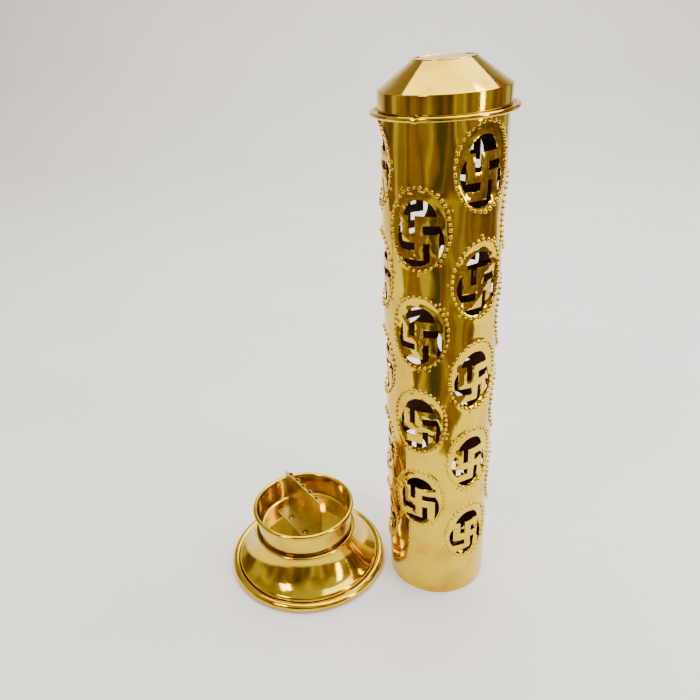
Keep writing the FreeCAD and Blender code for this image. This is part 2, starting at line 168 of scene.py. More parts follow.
def new_material(name):
    """A material with an empty tree."""
    material = bpy.data.materials.new(name)
    material.use_nodes = True
    material.node_tree.nodes.clear()
    return material, material.node_tree


trial, tree = new_material("trial")
add(tree, "ShaderNodeOutputMaterial", Surface=add(tree, "ShaderNodeBsdfPrincipled"))
print("a trial material has", len(tree.nodes), "nodes and", len(tree.links), "link")
bpy.data.materials.remove(trial)

# %% [markdown]
# ## Brass
# Brass is about two parts copper to one of zinc. Polished, it is a bare metal: all its
# colour is in its reflections, so the base colour is a strong yellow and the roughness is
# low. What keeps it from looking like plastic is the trace of how it was worked. Spun
# pieces keep fine rings from the tool, sheet keeps the long strokes of the buffing wheel,
# and both keep fingerprints and clouds of tarnish. The grooves get painted shade: their
# colour is pulled towards a dark brown.

# %% Painted shade in the grooves
# The dark brown of the painted shade in the grooves
GROOVE_SHADE_BROWN = "3a2408"
# Radius, height and reach of the grooves whose colour is darkened to brown as painted shade
FOOT_GROOVES = [(TUBE_R + 1.3, SHELF_Z + 0.6, 1.5), (FOOT_R - 5.0, 4.6, 0.9)]
CAP_GROOVES = [(TUBE_R + 1.1, CAP_Z + 1.9, 1.1)]


def groove_painted_shade(tree, place, tarnish_and_shade, grooves):
    """Adds painted shade, a darkening towards brown, near each groove's circle. The darkest part is a
    third of its reach.
    """
    parts = add(tree, "ShaderNodeSeparateXYZ", i0=place).outputs
    flat = add(tree, "ShaderNodeCombineXYZ", i0=parts[0], i1=parts[1])
    radius = add(tree, "ShaderNodeVectorMath", {"operation": "LENGTH"}, i0=flat).outputs["Value"]
    spot = add(tree, "ShaderNodeCombineXYZ", i0=radius, i2=parts[2])
    for groove_r, groove_z, reach in grooves:
        circle = (groove_r * MM, 0, groove_z * MM)
        away = add(tree, "ShaderNodeVectorMath", {"operation": "DISTANCE"}, i0=spot, i1=circle)
        near = add(
            tree,
            "ShaderNodeMapRange",
            i0=away.outputs["Value"],
            i1=0.35 * reach * MM,
            i2=reach * MM,
            i3=0.92,
            i4=0.0,
        )
        tarnish_and_shade = add(tree, "ShaderNodeMath", {"operation": "MAXIMUM"}, i0=tarnish_and_shade, i1=near)
    return tarnish_and_shade


print("grooves that hold dirt: %d on the foot, %d on the cap" % (len(FOOT_GROOVES), len(CAP_GROOVES)))

# %% Bumps in brass
MARK_DEEP = 0.2
WAVE_DEEP = 1.0
# One wave of thin sheet is about 14 mm wide and 40 mm tall
SHEET_WAVES = (70, 70, 26)


def worked_surface(tree, place, marks, mark_share, waves):
    """Long, low waves that make reflections crooked, and tool marks over them."""
    stretched = add(tree, "ShaderNodeMapping", i0=place, Scale=SHEET_WAVES)
    swell = add(tree, "ShaderNodeTexNoise", Vector=stretched, Scale=1.0, Detail=1.0)
    wavy = add(tree, "ShaderNodeBump", Height=swell, Strength=waves, Distance=WAVE_DEEP * MM)
    squeezed = add(tree, "ShaderNodeMapping", i0=place, Scale=marks)
    strokes = add(
        tree, "ShaderNodeTexNoise", Vector=squeezed, Scale=1.0, Detail=6.0, Roughness=0.6
    )
    return add(
        tree,
        "ShaderNodeBump",
        Height=strokes,
        Strength=mark_share,
        Distance=MARK_DEEP * MM,
        Normal=wavy,
    )


print("tool marks up to %.1f mm deep, waves up to %.1f mm" % (MARK_DEEP, WAVE_DEEP))

# %% One brass for every finish
CLOUD_WIDE = 25.0
SMEAR_WIDE = 6.25


def brass(name, bright, warm, rough, marks, mark_share, centre, grooves=(), waves=0.15):
    """A brass finish. rough is its range, and marks squeezes tool marks along X, Y and Z."""
    material, tree = new_material(name)
    place = add(tree, "ShaderNodeTexCoord").outputs["Object"]
    moved = add(
        tree, "ShaderNodeMapping", i0=place, Location=tuple(-part * MM for part in centre)
    )
    # Clouds of tarnish, and fingerprints that make the gloss uneven
    clouds = add(
        tree,
        "ShaderNodeTexNoise",
        Vector=place,
        Scale=1 / (CLOUD_WIDE * MM),
        Detail=4.0,
        Roughness=0.6,
    )
    smears = add(
        tree,
        "ShaderNodeTexNoise",
        Vector=place,
        Scale=1 / (SMEAR_WIDE * MM),
        Detail=5.0,
        Roughness=0.65,
    )
    clean = add(tree, "ShaderNodeValToRGB", {"stops": [(0.30, warm), (0.56, bright)]}, i0=clouds)
    tarnish_and_shade = add(tree, "ShaderNodeMapRange", i0=clouds, i1=0.35, i2=0.2, i3=0.0, i4=0.3)
    # The grooves get painted shade on top of the tarnish
    tarnish_and_shade = groove_painted_shade(tree, moved, tarnish_and_shade, grooves)
    mixed = add(
        tree,
        "ShaderNodeMix",
        {"data_type": "RGBA"},
        i0=tarnish_and_shade,
        i6=clean,
        i7=linear(GROOVE_SHADE_BROWN),
    )
    shader = add(
        tree,
        "ShaderNodeBsdfPrincipled",
        Base_Color=mixed.outputs[2],
        Metallic=1.0,
        Roughness=add(tree, "ShaderNodeMapRange", i0=smears, i3=rough[0], i4=rough[1]),
        Normal=worked_surface(tree, moved, marks, mark_share, waves),
    )
    add(tree, "ShaderNodeOutputMaterial", Surface=shader)
    print("%s: %d nodes" % (name, len(tree.nodes)))
    return material


# %% The finishes of this tower
ON_FOOT = (0, 0, 0)
ON_TUBE = (TUBE_X, 0, 0)
# Rings 0.6 mm apart, drawn coarser than a real tool's so that they show
RINGS = (60, 60, 1700)
# Upright strokes about 1 mm wide and 40 mm long
STROKES = (900, 900, 24)
# Foot and cup, spun and buffed: light runs round them in fine rings
spun_brass = brass(
    "brass_spun_and_buffed", "dcbc28", "c29a20", (0.05, 0.14), RINGS, 0.16, ON_FOOT, FOOT_GROOVES
)
# Cap, buffed longer: its rings are faint and its cone is nearly a mirror
cap_brass = brass(
    "brass_cap_spun_and_buffed", "dab82a", "be9824", (0.04, 0.13), RINGS, 0.03, ON_TUBE, CAP_GROOVES
)
# Tube, rolled sheet: upright strokes, and waves that bend everything it reflects
sheet_brass = brass(
    "brass_sheet_rolled", "dcbc28", "c29a20", (0.04, 0.12), STROKES, 0.08, ON_TUBE, waves=1.5
)
# Beads, stretched by the punch: a lighter yellow than the sheet's, a painted highlight that makes them
# the brightest points
bead_brass = brass(
    "brass_beads_punched", "e8c424", "caa01e", (0.06, 0.16), (600, 600, 600), 0.06, ON_TUBE
)
# Stick holder, bent sheet that nobody polished: a soft gold without clear reflections
holder_brass = brass(
    "brass_sheet_bent", "d0b84c", "b49c38", (0.26, 0.4), (500, 500, 60), 0.15, ON_FOOT
)
# Rivets, hammered wire: rough, browner spots on the holder's foot
rivet_brass = brass(
    "brass_wire_hammered", "a8883e", "6a4c20", (0.22, 0.42), (700, 700, 700), 0.5, ON_FOOT
)

# %% [markdown]
# ## The dark inside
# Nobody buffs the inside of the tube. Its dark red-brown colour is painted shade, for the
# shade inside the tube. It is hardly metallic, a little shiny and slightly streaked, and
# it shows a deep red-brown through the openings.

# %% Inside of the tube: painted shade
inside_shade, tree = new_material("brass_inside_painted_shade")
place = add(tree, "ShaderNodeTexCoord").outputs["Object"]
# Streaks about 3 mm wide and 30 mm long, and patches of painted shade about 14 mm across
long_marks = add(tree, "ShaderNodeMapping", i0=place, Scale=(300, 300, 30))
streaks = add(tree, "ShaderNodeTexNoise", Vector=long_marks, Scale=1.0, Detail=5.0)
patches = add(tree, "ShaderNodeTexNoise", Vector=place, Scale=70.0, Detail=4.0)
# Dark red-browns: painted shade for the inside of the tube
shade_red_browns = [(0.3, "42180f"), (0.55, "582416"), (0.75, "6e3424")]
inside_shade_shader = add(
    tree,
    "ShaderNodeBsdfPrincipled",
    Base_Color=add(tree, "ShaderNodeValToRGB", {"stops": shade_red_browns}, i0=patches),
    Metallic=0.15,
    Roughness=add(tree, "ShaderNodeMapRange", i0=streaks, i3=0.5, i4=0.75),
    Normal=add(tree, "ShaderNodeBump", Height=streaks, Strength=0.3, Distance=MARK_DEEP * MM),
)
add(tree, "ShaderNodeOutputMaterial", Surface=inside_shade_shader)
print("%s: %d nodes" % (inside_shade.name, len(tree.nodes)))

# %% [markdown]
# ## Spun pieces
# A spun piece is a section turned round an axis, because that is how the lathe made it. So
# each one is drawn as half a section, from straights and arcs, and then turned. Every
# section is closed, so the sheet has a real thickness and both of its faces.

# %% Arcs and straights


def arc_points(start, end, radius, turn, major):
    """Points between start and end on an arc; turn is 1 anticlockwise and -1 clockwise."""
    start, end = Vector(start), Vector(end)
    across = end - start
    half = min(across.length / 2 / radius, 1.0)
    rise = radius * math.sqrt(1 - half * half) * (-turn if major else turn)
    middle = (start + end) / 2 + Vector((-across.y, across.x)).normalized() * rise
    sweep = 2 * math.asin(half)
    if major:
        sweep = 2 * math.pi - sweep
    steps = max(2, round(math.degrees(sweep) / 9), round(sweep * radius / 2.5))
    first = math.atan2(start.y - middle.y, start.x - middle.x)
    points = []
    for step in range(1, steps):
        angle = first + turn * sweep * step / steps
        points.append((middle.x + radius * math.cos(angle), middle.y + radius * math.sin(angle)))
    return points


def section_points(corners, run=6.0):
    """Points of a closed section. Each corner is (x, z, bend), and bend leads to the next."""
    points = []
    for index, (x, z, bend) in enumerate(corners):
        following = corners[(index + 1) % len(corners)][:2]
        points.append((x, z))
        if bend:
            points += arc_points((x, z), following, *bend)
            continue
        length = math.hypot(following[0] - x, following[1] - z)
        steps = max(1, round(length / run))
        for step in range(1, steps):
            share = step / steps
            points.append((x + (following[0] - x) * share, z + (following[1] - z) * share))
    return points


quarter = arc_points((10, 0), (0, 10), 10, 1, False)
print("a quarter circle of 10 mm takes", len(quarter), "points between its ends")

# %% Softened corners


def soften(corners, radius):
    """Rounds off the corners between two straights, where a tool can't press a sharp one."""
    out = []
    count = len(corners)
    for index, (x, z, bend) in enumerate(corners):
        before = corners[index - 1]
        after = corners[(index + 1) % count]
        here = Vector((x, z))
        back = Vector(before[:2]) - here
        ahead = Vector(after[:2]) - here
        if bend or before[2] or x == 0 or min(back.length, ahead.length) < 2.2 * radius:
            out.append((x, z, bend))
            continue
        half = back.angle(ahead) / 2
        reach = min(radius / math.tan(half), 0.45 * min(back.length, ahead.length))
        true_radius = reach * math.tan(half)
        turn = 1 if back.x * ahead.y - back.y * ahead.x < 0 else -1
        first = here + back.normalized() * reach
        last = here + ahead.normalized() * reach
        out.append((first.x, first.y, (true_radius, turn, False)))
        out.append((last.x, last.y, None))
    return out


square = [(1, 0, None), (11, 0, None), (11, 10, None), (1, 10, None)]
print("a softened square has", len(soften(square, 1.0)), "corners")

# %% Finish a mesh
WELD = 0.001


def finish_mesh(name, mesh, materials, sharp=40):
    """Cleans a mesh, points its faces outwards, and makes it an object at the origin."""
    work = bmesh.new()
    work.from_mesh(mesh)
    bmesh.ops.remove_doubles(work, verts=work.verts, dist=WELD * MM)
    bmesh.ops.dissolve_degenerate(work, edges=work.edges, dist=WELD * MM / 10)
    bmesh.ops.recalc_face_normals(work, faces=work.faces)
    work.to_mesh(mesh)
    work.free()
    for polygon in mesh.polygons:
        polygon.use_smooth = True
    mesh.set_sharp_from_angle(angle=math.radians(sharp))
    if not mesh.materials:
        for material in materials:
            mesh.materials.append(material)
    piece = bpy.data.objects.new(name, mesh)
    bpy.context.collection.objects.link(piece)
    print("%s: %d faces" % (name, len(mesh.polygons)))
    return piece


print("points closer than %.3f mm are welded" % WELD)

# %% Turn a section
FOOT_STEPS, CUP_STEPS, CAP_STEPS = 200, 180, 240


def turned(name, corners, axis_x, material, steps, seed, wobble=0.001):
    """Turns a closed section round a vertical axis. wobble is how far it runs out of true."""
    section = section_points(corners)
    vertices = []
    faces = []
    rows = len(section)
    for step in range(steps):
        angle = 2 * math.pi * step / steps
        for radius, height in section:
            spot = Vector((math.cos(angle) * 1.3, math.sin(angle) * 1.3, height / 18 + seed))
            grow = 1 + wobble * noise.noise(spot)
            x = axis_x + radius * grow * math.cos(angle)
            y = radius * grow * math.sin(angle)
            vertices.append((x * MM, y * MM, height * MM))
    for step in range(steps):
        following = (step + 1) % steps
        for row in range(rows):
            up = (row + 1) % rows
            faces.append(
                (step * rows + row, following * rows + row, following * rows + up, step * rows + up)
            )
    mesh = bpy.data.meshes.new(name)
    mesh.from_pydata(vertices, [], faces)
    return finish_mesh(name, mesh, [material])


print("one facet of the foot's rim is %.1f mm wide" % (2 * math.pi * FOOT_R / FOOT_STEPS))

# %% [markdown]
# ## The foot
# One disc of sheet, spun over a bell-shaped former. From the table up it has a hem turned
# in, a rolled rim, a convex ring, a hollow flare, and a beaded collar whose shelf carries
# the cup. The section runs up the outside and back down the inside, 0.8 mm away.

# %% Foot
FOOT_SHEET = 0.8
HEM = 2.3
RIM = 2.8
BEAD = 1.3
HOOP = 2.6
FLARE = 25.55
SHELF_OPEN = 20.0
COLLAR_X = TUBE_R + 1.8
# Where the flare leaves the hoop, where the rim meets the hoop, and where it meets the collar
HOOP_END = (FOOT_R - 6.2, 7.45)
VALLEY_TURN = 141.2
COLLAR_TURN = -55
# Which way the inner skin lies from the flare's two ends
HOOP_INWARD = 240
COLLAR_INWARD = 191
rim_x = FOOT_R - RIM
bead_z = SHELF_Z - BEAD


def at(x, z, reach, degrees):
    """The point that lies a reach away in a direction."""
    return x + reach * math.cos(math.radians(degrees)), z + reach * math.sin(math.radians(degrees))


valley = at(rim_x, RIM, RIM, VALLEY_TURN)
bead_end = at(COLLAR_X, bead_z, BEAD, COLLAR_TURN)
foot_corners = [
    (rim_x - HEM, 0.0, None),
    (rim_x, 0.0, (RIM, 1, True)),
    (*valley, (HOOP, 1, False)),
    (*HOOP_END, (FLARE, -1, False)),
    (*bead_end, (BEAD, 1, False)),
    (COLLAR_X, SHELF_Z, None),
    (SHELF_OPEN, SHELF_Z, None),
    (SHELF_OPEN, SHELF_Z - FOOT_SHEET, None),
    (COLLAR_X, SHELF_Z - FOOT_SHEET, (BEAD - FOOT_SHEET, -1, False)),
    (*at(COLLAR_X, bead_z, BEAD - FOOT_SHEET, COLLAR_TURN), None),
    (*at(*bead_end, FOOT_SHEET, COLLAR_INWARD), (FLARE + FOOT_SHEET, 1, False)),
    (*at(*HOOP_END, FOOT_SHEET, HOOP_INWARD), (HOOP - FOOT_SHEET, -1, False)),
    (valley[0] - 0.97 * FOOT_SHEET, valley[1] + 0.25 * FOOT_SHEET, None),
    (*at(*valley, FOOT_SHEET, VALLEY_TURN + 180), (RIM - FOOT_SHEET, -1, True)),
    (rim_x, FOOT_SHEET, None),
    (rim_x - HEM, FOOT_SHEET, None),
]
foot = turned("spun_foot", foot_corners, 0.0, spun_brass, FOOT_STEPS, 3)
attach(foot, "base")
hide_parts("foot_shell")

# %% [markdown]
# ## The cup
# A second spinning drops onto the collar's shelf. Its lip is rolled outwards over a wire,
# which keeps the edge round and safe for fingers, and its floor has a soft inner corner.

# %% Cup
CUP_SHEET = 0.7
LIP = 1.4
CUP_IN = LIP_OUT - 2 * LIP
CUP_OUT = CUP_IN + CUP_SHEET
CORNER = 2.2
floor_z = SHELF_Z + CUP_SHEET
lip_z = LIP_Z - LIP
lip_foot = lip_z - math.sqrt(LIP**2 - (LIP - CUP_SHEET) ** 2)
cup_corners = [
    (0.0, SHELF_Z, None),
    (CUP_IN - CORNER, SHELF_Z, (CORNER + CUP_SHEET, 1, False)),
    (CUP_OUT, floor_z + CORNER, None),
    (CUP_OUT, lip_foot, (LIP, 1, True)),
    (CUP_IN, lip_z, None),
    (CUP_IN, floor_z + CORNER, (CORNER, -1, False)),
    (CUP_IN - CORNER, floor_z, None),
    (0.0, floor_z, None),
]
cup = turned("spun_cup", cup_corners, 0.0, spun_brass, CUP_STEPS, 9)
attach(cup, "base")
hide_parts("cup")

# %% [markdown]
# ## The cap
# A third spinning: a flat disc with a fine ridge round it, a cone, a short skirt over the
# tube, and a brim whose edge is rolled over a wire. Its corners are softer than the CAD
# section's, as spun ones are. The rolled edge has a small kink in front, where the two ends
# of its wire meet.

# %% Cap
CAP_SHEET = 0.5
SLIP = 0.25
ROLL = 1.15
SHOULDER_DROP = 11.5
DISC_R, DISC_DROP = 14.35, 0.25
RIDGE_IN, RIDGE_ROUND = 13.2, 0.62
DISC_UNDER_R = 13.8
CAP_SOFT = 0.7
SKIRT_OUT = TUBE_R + SLIP + CAP_SHEET
SKIRT_IN = SKIRT_OUT - CAP_SHEET
cap_top = cap_high.z
shoulder_z = cap_top - SHOULDER_DROP
brim_z = CAP_Z + ROLL
roll_x = BRIM_R - ROLL
roll_bite = math.sqrt(ROLL**2 - (CAP_SHEET / 2) ** 2)
cap_corners = [
    (SKIRT_IN, brim_z - CAP_SHEET / 2, None),
    (roll_x - roll_bite, brim_z - CAP_SHEET / 2, (ROLL, 1, True)),
    (roll_x - roll_bite, brim_z + CAP_SHEET / 2, None),
    (SKIRT_OUT, brim_z + CAP_SHEET / 2, None),
    (SKIRT_OUT, shoulder_z, None),
    (DISC_R, cap_top - DISC_DROP, (RIDGE_ROUND, 1, False)),
    (RIDGE_IN, cap_top, None),
    (0.0, cap_top, None),
    (0.0, cap_top - CAP_SHEET, None),
    (DISC_UNDER_R, cap_top - CAP_SHEET, None),
    (SKIRT_IN, shoulder_z - CAP_SHEET / 2, None),
]
cap_corners = soften(cap_corners, CAP_SOFT)
cap = turned("spun_cap", cap_corners, TUBE_X, cap_brass, CAP_STEPS, 21, wobble=0.0015)

# %% Kink in the rolled edge
KINK_AT = math.radians(-114)
KINK_WIDE = 0.04
KINK_DEEP = 0.5
bent_points = 0
for vertex in cap.data.vertices:
    x, y = vertex.co.x - TUBE_X * MM, vertex.co.y
    if math.hypot(x, y) > (roll_x - 1.3) * MM:
        near = math.exp(-(((math.atan2(y, x) - KINK_AT) / KINK_WIDE) ** 2))
        vertex.co.z -= KINK_DEEP * near * MM
        bent_points += near > 0.1
print("the kink bends", bent_points, "points")
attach(cap, "lid")
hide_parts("cap")

# %% [markdown]
# ## The stick holder
# The plate, the corrugated strip and the rivets are small, plain press work, and the CAD
# shapes are already right. They only take their brass.

# %% Holder
for node, material in (
    ("stick_plate", holder_brass),
    ("stick_strip", holder_brass),
    ("rivet_front", rivet_brass),
    ("rivet_rear", rivet_brass),
):
    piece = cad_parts[node]
    piece.data.materials.clear()
    piece.data.materials.append(material)
    print("%s: %s" % (node, material.name))

# %% [markdown]
# ## One roundel, flat
# The tube is pierced and beaded while it is still a flat sheet, and rolled up afterwards,
# so it is made the same way here. Four openings are sawn out of each roundel, and the arms
# between them are what is left of the sheet. Each opening is a closed outline of straights
# and one bowed side, drawn round the point where the arms cross.

# %% Outline of the openings
ROW_PITCH = 51.5
ROW_LOW = 44.0
COLUMNS = 6
TILE_WIDE = 2 * math.pi * TUBE_R / COLUMNS
HALF_W, MOTIF_TOP, MOTIF_LOW, MOTIF_MID = 9.5, 8.25, -12.25, -2.0
BAR, TIE = 4.2, 1.2
CROWN_TOP, CROWN_SIDE, CROWN_LOW = 7.25, 2.5, 3.25
SAW_STEP = 1.2


def bow(start, end, crown, turn):
    """The arc that leads from start to end and rises by a crown."""
    chord = math.dist(start, end)
    return ((chord**2 / 4 + crown**2) / (2 * crown), turn, False)


mid_top, mid_low = MOTIF_MID + BAR / 2, MOTIF_MID - BAR / 2
above = [
    (-HALF_W + BAR, mid_top, None),
    (-BAR / 2, mid_top, None),
    (-BAR / 2, MOTIF_TOP, None),
    (HALF_W - TIE, MOTIF_TOP, bow((HALF_W - TIE, 0), (-HALF_W + TIE, 0), CROWN_TOP, 1)),
    (-HALF_W + TIE, MOTIF_TOP, None),
    (-HALF_W + BAR, MOTIF_TOP, None),
]
right_top, right_low = (HALF_W, MOTIF_TOP - BAR), (HALF_W, MOTIF_LOW + TIE)
beside_right = [
    (HALF_W, mid_top, None),
    (BAR / 2, mid_top, None),
    (BAR / 2, MOTIF_TOP - BAR, None),
    (*right_top, bow(right_top, right_low, CROWN_SIDE, -1)),
    (*right_low, None),
]
low_left, low_right = (-HALF_W + TIE, MOTIF_LOW), (HALF_W - BAR, MOTIF_LOW)
below = [
    (HALF_W - BAR, mid_low, None),
    (BAR / 2, mid_low, None),
    (BAR / 2, MOTIF_LOW, None),
    (*low_left, bow(low_left, low_right, CROWN_LOW, 1)),
    (*low_right, None),
]
left_low, left_top = (-HALF_W, MOTIF_LOW + BAR), (-HALF_W, MOTIF_TOP - 2 * TIE)
beside_left = [
    (-HALF_W, mid_low, None),
    (-BAR / 2, mid_low, None),
    (-BAR / 2, MOTIF_LOW + BAR, None),
    (*left_low, bow(left_low, left_top, CROWN_SIDE, -1)),
    (*left_top, None),
]
outlines = (above, beside_right, below, beside_left)
openings = [section_points(loop, SAW_STEP) for loop in outlines]
print("openings:", [len(outline) for outline in openings], "points")

# %% [markdown]
# ## Hand-work in the sheet
# The punch and the hammer push the sheet about. A low ring stands up under the beads,
# inside it the sheet falls away in a shallow dish, and the arms are slightly beaten. All of
# it is a height that depends only on the place in the roundel.

# %% Relief
RING_WIDE, RING_HIGH, RING_UP = 14.6, 19.2, 2.0
RING_RISE = 0.16
DISH_DEEP = 0.85
BEATEN = 0.32
BEATEN_PER_MM = 0.34


def ring_share(x, y):
    """How far a point lies from the roundel's middle, where 1 is the ring of beads."""
    return math.hypot(x / RING_WIDE, (y - RING_UP) / RING_HIGH)


def between(value, low, high):
    """A value held between two limits."""
    return min(max(value, low), high)


def relief(x, y):
    """How far the hammer moved the sheet out (+) or in (-), in millimetres."""
    share = ring_share(x, y)
    ring = RING_RISE * math.exp(-(((share - 1.0) / 0.06) ** 2))
    dish = -DISH_DEEP * between((0.97 - share) / 0.16, 0.0, 1.0)
    settle = between((share - 0.45) / 0.3, 0.0, 1.0)
    dents = BEATEN * noise.noise(Vector((x * BEATEN_PER_MM, y * BEATEN_PER_MM, 4.0)))
    dents *= between(1.1 - share, 0, 0.4) / 0.4
    return ring + dish * (0.45 + 0.55 * settle) + dents


print("relief: %.2f mm in the middle, %.2f mm on the ring" % (relief(0, 0), relief(RING_WIDE, RING_UP)))

# %% [markdown]
# ## Tiles of sheet
# One tile is 60 degrees of the tube wide and one row high. A triangulator joins a grid of
# points with the outlines of the openings, and the triangles inside them are left out. The
# sides of a tile stay open, because they are welded to the next tile later.

# %% Inside or near an opening
CLEAR = 0.62


def inside(point, outline):
    """True where a point lies inside a closed outline."""
    x, y = point[0], point[1]
    crossings = 0
    for index, (ax, ay) in enumerate(outline):
        bx, by = outline[(index + 1) % len(outline)]
        if (ay > y) != (by > y) and x < ax + (y - ay) / (by - ay) * (bx - ax):
            crossings += 1
    return crossings % 2 == 1


def near_outline(x, y):
    """True where a point lies on, inside or close to an opening."""
    for outline in openings:
        if inside((x, y), outline):
            return True
        if min(math.dist((x, y), spot) for spot in outline) < CLEAR:
            return True
    return False


print("middle of the motif in an opening:", any(inside((0, MOTIF_MID), line) for line in openings))

# %% Tile of sheet
SHEET = 0.6
EDGE_ROLL = 0.16
HAIR = 1e-4


def sheet_tile(name, wide, low, high, across, up, holes):
    """A tile of sheet with two skins. The walls of its holes are closed, its sides are open."""
    spots = []
    for row in range(up + 1):
        for column in range(across + 1):
            x = wide * (column / across - 0.5)
            y = low + (high - low) * row / up
            on_side = row in (0, up) or column in (0, across)
            if on_side or not holes or not near_outline(x, y):
                spots.append(Vector((x, y)))
    walls = []
    for outline in holes:
        first = len(spots)
        spots += [Vector(spot) for spot in outline]
        count = len(outline)
        walls += [(first + step, first + (step + 1) % count) for step in range(count)]
    cut = geometry.delaunay_2d_cdt(spots, walls, [], 0, 1e-6)
    flat, triangles = cut[0], cut[2]
    kept = []
    for triangle in triangles:
        middle = sum((flat[index] for index in triangle), Vector((0, 0))) / 3
        if not any(inside(middle, outline) for outline in holes):
            kept.append(tuple(triangle))
    count = len(flat)
    # The punch rolls the edge of an opening in a little, and that edge catches the light
    edge_spots = {(round(spot[0], 3), round(spot[1], 3)) for outline in holes for spot in outline}
    vertices = []
    for drop in (0.0, SHEET):
        for spot in flat:
            height = relief(spot.x, spot.y) if holes else 0.0
            if (round(spot.x, 3), round(spot.y, 3)) in edge_spots:
                height -= EDGE_ROLL
            vertices.append((spot.x * MM, spot.y * MM, (height - drop) * MM))
    faces = list(kept)
    faces += [tuple(index + count for index in reversed(triangle)) for triangle in kept]
    uses = {}
    for triangle in kept:
        for step in range(3):
            edge = (triangle[step], triangle[(step + 1) % 3])
            uses[frozenset(edge)] = None if frozenset(edge) in uses else edge
    side = wide / 2 - HAIR
    for edge in uses.values():
        if edge is None:
            continue
        a, b = (flat[index] for index in edge)
        on_side = min(abs(a.x), abs(b.x)) > side
        on_end = min(a.y, b.y) > high - HAIR or max(a.y, b.y) < low + HAIR
        if not on_side and not on_end:
            faces.append((edge[1], edge[0], edge[0] + count, edge[1] + count))
    mesh = bpy.data.meshes.new(name)
    mesh.from_pydata(vertices, [], faces)
    skin = mesh.attributes.new("inner_skin", "BOOLEAN", "FACE")
    for index, polygon in enumerate(mesh.polygons):
        skin.data[index].value = len(kept) <= index < 2 * len(kept)
    tile = bpy.data.objects.new(name, mesh)
    print("%s: %d faces" % (name, len(faces)))
    return tile


# %% The four kinds of tile
half_row = ROW_PITCH / 2
foot_edge = ROW_LOW - half_row
top_edge = ROW_LOW + 4.5 * ROW_PITCH
roundel_tile = sheet_tile("roundel_tile", TILE_WIDE, -half_row, half_row, 24, 40, openings)
blank_tile = sheet_tile("blank_tile", TILE_WIDE, 0, half_row, 24, 20, [])
foot_tile = sheet_tile("foot_tile", TILE_WIDE, 0, foot_edge, 24, 14, [])
top_tile = sheet_tile("top_tile", TILE_WIDE, top_edge, TUBE_TALL, 24, 5, [])

# %% [markdown]
# ## Rolling the sheet
# Geometry Nodes lays the tiles out as the flat sheet was, and the same graph then rolls the
# sheet into a tube. It gives it the slight waves that hand rolling leaves, which is what
# makes a polished tube's reflections swim.

# %% Places of the roundels
TURN = math.radians(36.0)
LONG_ROWS, SHORT_ROWS = 5, 4


def grid_points(tree, rows, first_u, first_v):
    """Places for roundels in every second column, in flat metres of sheet."""
    columns = COLUMNS // 2
    wide, tall = 2 * TILE_WIDE * (columns - 1), ROW_PITCH * (rows - 1)
    grid = add(
        tree,
        "GeometryNodeMeshGrid",
        Size_X=wide * MM,
        Size_Y=tall * MM,
        Vertices_X=columns,
        Vertices_Y=rows,
    )
    middle = ((first_u + wide / 2) * MM, (first_v + tall / 2) * MM, 0)
    return add(tree, "GeometryNodeTransform", Geometry=grid, Translation=middle)


def roundel_places(tree):
    """Columns of five roundels and columns of four, half a row higher, in turn."""
    return [
        grid_points(tree, LONG_ROWS, 0, ROW_LOW),
        grid_points(tree, SHORT_ROWS, -TILE_WIDE, ROW_LOW + half_row),
    ]


print("roundels:", COLUMNS // 2 * (LONG_ROWS + SHORT_ROWS))

# %% Roll a flat sheet up
SUM = "ShaderNodeMath"


def roll_up(tree, flat_sheet, wave):
    """Rolls flat sheet into the tube: x runs round it, y runs up, and z stands off it."""
    spot = add(tree, "GeometryNodeInputPosition")
    parts = add(tree, "ShaderNodeSeparateXYZ", i0=spot).outputs
    ahead = add(tree, SUM, {"operation": "DIVIDE"}, i0=parts[0], i1=TUBE_R * MM)
    angle = add(tree, SUM, {"operation": "ADD"}, i0=ahead, i1=TURN - math.pi / 2)
    cosine = add(tree, SUM, {"operation": "COSINE"}, i0=angle)
    sine = add(tree, SUM, {"operation": "SINE"}, i0=angle)
    # The waves are read from a place on a cylinder, so they meet where the sheet does
    on_cylinder = add(
        tree,
        "ShaderNodeCombineXYZ",
        i0=add(tree, SUM, {"operation": "MULTIPLY"}, i0=cosine, i1=TUBE_R * MM),
        i1=add(tree, SUM, {"operation": "MULTIPLY"}, i0=sine, i1=TUBE_R * MM),
        i2=parts[1],
    )
    waves = add(
        tree, "ShaderNodeTexNoise", Vector=on_cylinder, Scale=34.0, Detail=1.5, Roughness=0.4
    )
    centred = add(tree, SUM, {"operation": "SUBTRACT"}, i0=waves, i1=0.5)
    lift = add(tree, SUM, {"operation": "MULTIPLY"}, i0=centred, i1=wave)
    height = add(tree, SUM, {"operation": "ADD"}, i0=parts[2], i1=lift)
    radius = add(tree, SUM, {"operation": "ADD"}, i0=height, i1=TUBE_R * MM)
    from_axis = add(tree, SUM, {"operation": "MULTIPLY"}, i0=radius, i1=cosine)
    rolled = add(
        tree,
        "ShaderNodeCombineXYZ",
        i0=add(tree, SUM, {"operation": "ADD"}, i0=from_axis, i1=TUBE_X * MM),
        i1=add(tree, SUM, {"operation": "MULTIPLY"}, i0=radius, i1=sine),
        i2=parts[1],
    )
    return add(tree, "GeometryNodeSetPosition", Geometry=flat_sheet, Position=rolled)


print("the sheet is %.1f mm wide before it is rolled" % (COLUMNS * TILE_WIDE))

# %% New graph, and how it is run


def new_graph(name, output, inputs):
    """An empty geometry graph with named inputs, and the sockets that bring them in."""
    tree = bpy.data.node_groups.new(name, "GeometryNodeTree")
    tree.interface.new_socket(name=output, in_out="OUTPUT", socket_type="NodeSocketGeometry")
    for label, kind in inputs.items():
        tree.interface.new_socket(name=label, in_out="INPUT", socket_type="NodeSocket" + kind)
    return tree, tree.nodes.new("NodeGroupInput").outputs


